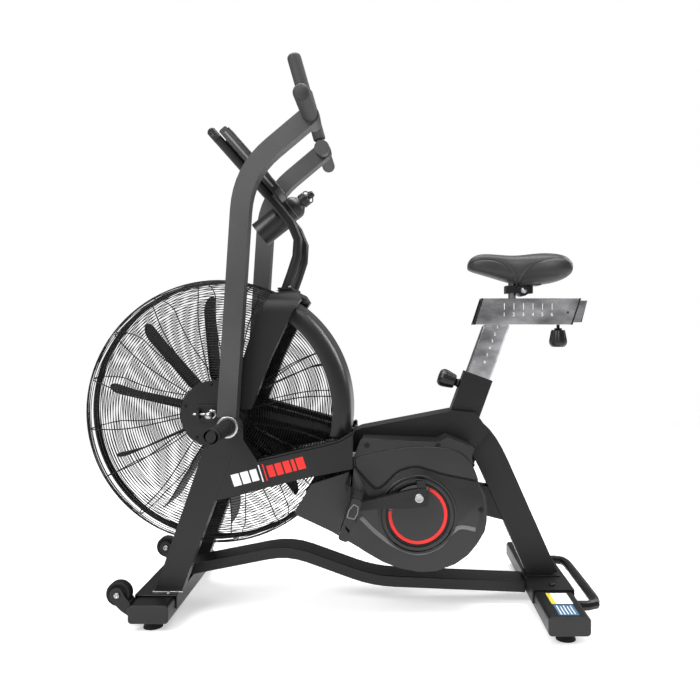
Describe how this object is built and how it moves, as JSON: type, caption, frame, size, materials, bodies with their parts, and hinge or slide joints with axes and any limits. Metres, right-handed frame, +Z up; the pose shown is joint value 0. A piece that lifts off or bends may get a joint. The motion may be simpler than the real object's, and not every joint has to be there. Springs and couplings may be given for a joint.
{
  "type": "air bike",
  "caption": "Upright exercise bike with a wire-caged fan, swinging handle arms, foot pegs, pedals, sliding chrome seat and a sloping base.",
  "frame": {"origin": "on the floor at the centre of the bounding box footprint", "axes": "+Z up, +X towards the rear, -Y the rider's left side"},
  "size_m": [1.277, 0.704, 1.3707],
  "materials": {
    "frame_paint": "fine-texture black powder coat",
    "wire_paint": "semi-gloss black wire coating",
    "casing_plastic": "matt dark grey moulded plastic",
    "black_plastic": "black moulded plastic",
    "rubber": "matt black rubber",
    "foam": "matt moulded foam grip",
    "chrome": "polished chrome with brushed streaks",
    "steel": "zinc-plated steel",
    "saddle_leather": "black grained leatherette with stitched side panels"
  },
  "bodies": {
    "frame": {"front_foot_tube": "frame_paint", "rear_foot_tube": "frame_paint", "wheel_bracket_left": "frame_paint", "wheel_bracket_right": "frame_paint", "base_beam": "frame_paint", "rear_handle": "frame_paint", "side_frame_left": "frame_paint", "side_frame_right": "frame_paint", "foot_peg_left": "frame_paint", "foot_peg_right": "frame_paint", "cage_grille_left": "wire_paint", "cage_grille_right": "wire_paint", "fan_hub_plate_left": "frame_paint", "fan_hub_plate_right": "frame_paint", "cage_rim": "wire_paint", "fan_shroud": "casing_plastic", "fan_axle": "steel", "top_arch": "frame_paint", "drive_chain": "steel", "seat_sleeve": "frame_paint", "main_frame": "frame_paint", "lower_frame": "frame_paint", "casing_left": "casing_plastic", "casing_right": "casing_plastic", "round_cover_left": "casing_plastic", "round_cover_right": "casing_plastic", "console_loop": "frame_paint", "console_housing": "black_plastic", "bottle_cup": "black_plastic"},
    "crank": {"crank_spindle": "steel", "crank_sprocket": "steel", "crank_left": "frame_paint", "crank_right": "frame_paint"},
    "fan": {"fan_rotor": "black_plastic", "fan_sprocket": "steel"},
    "post": {"seat_post": "chrome", "seat_rail": "chrome"},
    "slider": {"seat_slider": "chrome", "saddle_clamp": "frame_paint", "saddle": "saddle_leather"},
    "height_knob": {"height_knob": "black_plastic"},
    "fore_aft_knob": {"fore_aft_knob": "black_plastic"},
    "bottle": {"bottle": "black_plastic"},
    "console_button": {"console_button": "black_plastic"},
    "arm_left": {"swing_arm_left": "frame_paint", "upright_grip_left": "foam", "side_grip_left": "foam"},
    "rod_left": {"link_rod_left": "steel"},
    "pedal_left": {"pedal_left": "black_plastic"},
    "wheel_left": {"transport_wheel_left": "rubber"},
    "leveller_front_left": {"leveller_front_left": "rubber"},
    "leveller_rear_left": {"leveller_rear_left": "rubber"},
    "arm_right": {"swing_arm_right": "frame_paint", "upright_grip_right": "foam", "side_grip_right": "foam"},
    "rod_right": {"link_rod_right": "steel"},
    "pedal_right": {"pedal_right": "black_plastic"},
    "wheel_right": {"transport_wheel_right": "rubber"},
    "leveller_front_right": {"leveller_front_right": "rubber"},
    "leveller_rear_right": {"leveller_rear_right": "rubber"}
  },
  "joints": [
    {"name": "crank_spin", "type": "hinge", "parent": "frame", "child": "crank", "pos_m": [0.201, 0, 0.297], "axis": [0, 1, 0], "continuous": true},
    {"name": "pedal_left_spin", "type": "hinge", "parent": "crank", "child": "pedal_left", "pos_m": [0.04256, -0.225, 0.27473], "axis": [0, 1, 0], "continuous": true},
    {"name": "pedal_right_spin", "type": "hinge", "parent": "crank", "child": "pedal_right", "pos_m": [0.35944, 0.225, 0.31927], "axis": [0, 1, 0], "continuous": true},
    {"name": "fan_spin", "type": "hinge", "parent": "frame", "child": "fan", "pos_m": [-0.303, 0, 0.492], "axis": [0, 1, 0], "continuous": true},
    {"name": "arm_left_swing", "type": "hinge", "parent": "frame", "child": "arm_left", "pos_m": [-0.249, -0.168, 0.47], "axis": [0, 1, 0], "range_deg": [-12, 12]},
    {"name": "rod_left_swing", "type": "hinge", "parent": "arm_left", "child": "rod_left", "pos_m": [-0.249, -0.1145, 0.352], "axis": [0, 1, 0], "range_deg": [-12, 12]},
    {"name": "arm_right_swing", "type": "hinge", "parent": "frame", "child": "arm_right", "pos_m": [-0.249, 0.168, 0.47], "axis": [0, 1, 0], "range_deg": [-12, 12]},
    {"name": "rod_right_swing", "type": "hinge", "parent": "arm_right", "child": "rod_right", "pos_m": [-0.249, 0.1145, 0.352], "axis": [0, 1, 0], "range_deg": [-12, 12]},
    {"name": "seat_height", "type": "slide", "parent": "frame", "child": "post", "axis": [0.342, 0, 0.9397], "range_m": [-0.09, 0.06]},
    {"name": "seat_fore_aft", "type": "slide", "parent": "post", "child": "slider", "axis": [1, 0, 0], "range_m": [-0.04, 0.05]},
    {"name": "height_knob_pull", "type": "slide", "parent": "frame", "child": "height_knob", "axis": [-0.9397, 0, 0.342], "range_m": [0, 0.01], "stiffness_N_per_m": 1200, "springref_m": -0.002},
    {"name": "fore_aft_knob_pull", "type": "slide", "parent": "post", "child": "fore_aft_knob", "axis": [0, 0, -1], "range_m": [0, 0.01], "stiffness_N_per_m": 1200, "springref_m": -0.002},
    {"name": "wheel_left_roll", "type": "hinge", "parent": "frame", "child": "wheel_left", "pos_m": [-0.503, -0.182, 0.081], "axis": [0, 1, 0], "continuous": true},
    {"name": "leveller_front_left_turn", "type": "hinge", "parent": "frame", "child": "leveller_front_left", "pos_m": [-0.4255, -0.178, 0], "axis": [0, 0, 1], "continuous": true},
    {"name": "leveller_rear_left_turn", "type": "hinge", "parent": "frame", "child": "leveller_rear_left", "pos_m": [0.528, -0.245, 0], "axis": [0, 0, 1], "continuous": true},
    {"name": "wheel_right_roll", "type": "hinge", "parent": "frame", "child": "wheel_right", "pos_m": [-0.503, 0.182, 0.081], "axis": [0, 1, 0], "continuous": true},
    {"name": "leveller_front_right_turn", "type": "hinge", "parent": "frame", "child": "leveller_front_right", "pos_m": [-0.4255, 0.178, 0], "axis": [0, 0, 1], "continuous": true},
    {"name": "leveller_rear_right_turn", "type": "hinge", "parent": "frame", "child": "leveller_rear_right", "pos_m": [0.528, 0.245, 0], "axis": [0, 0, 1], "continuous": true},
    {"name": "bottle_lift", "type": "slide", "parent": "frame", "child": "bottle", "axis": [0.7826, 0, 0.6225], "range_m": [0, 0.1]},
    {"name": "console_button_press", "type": "slide", "parent": "frame", "child": "console_button", "axis": [-0.7522, 0, -0.6589], "range_m": [0, 0.0025], "stiffness_N_per_m": 400, "springref_m": -0.001}
  ],
  "couplings": [
    {"joint": "fan_spin", "follows": "crank_spin", "ratio": 3.1667},
    {"joint": "arm_right_swing", "follows": "arm_left_swing", "ratio": -1},
    {"joint": "rod_left_swing", "follows": "arm_left_swing", "ratio": -1},
    {"joint": "rod_right_swing", "follows": "arm_left_swing", "ratio": 1}
  ]
}
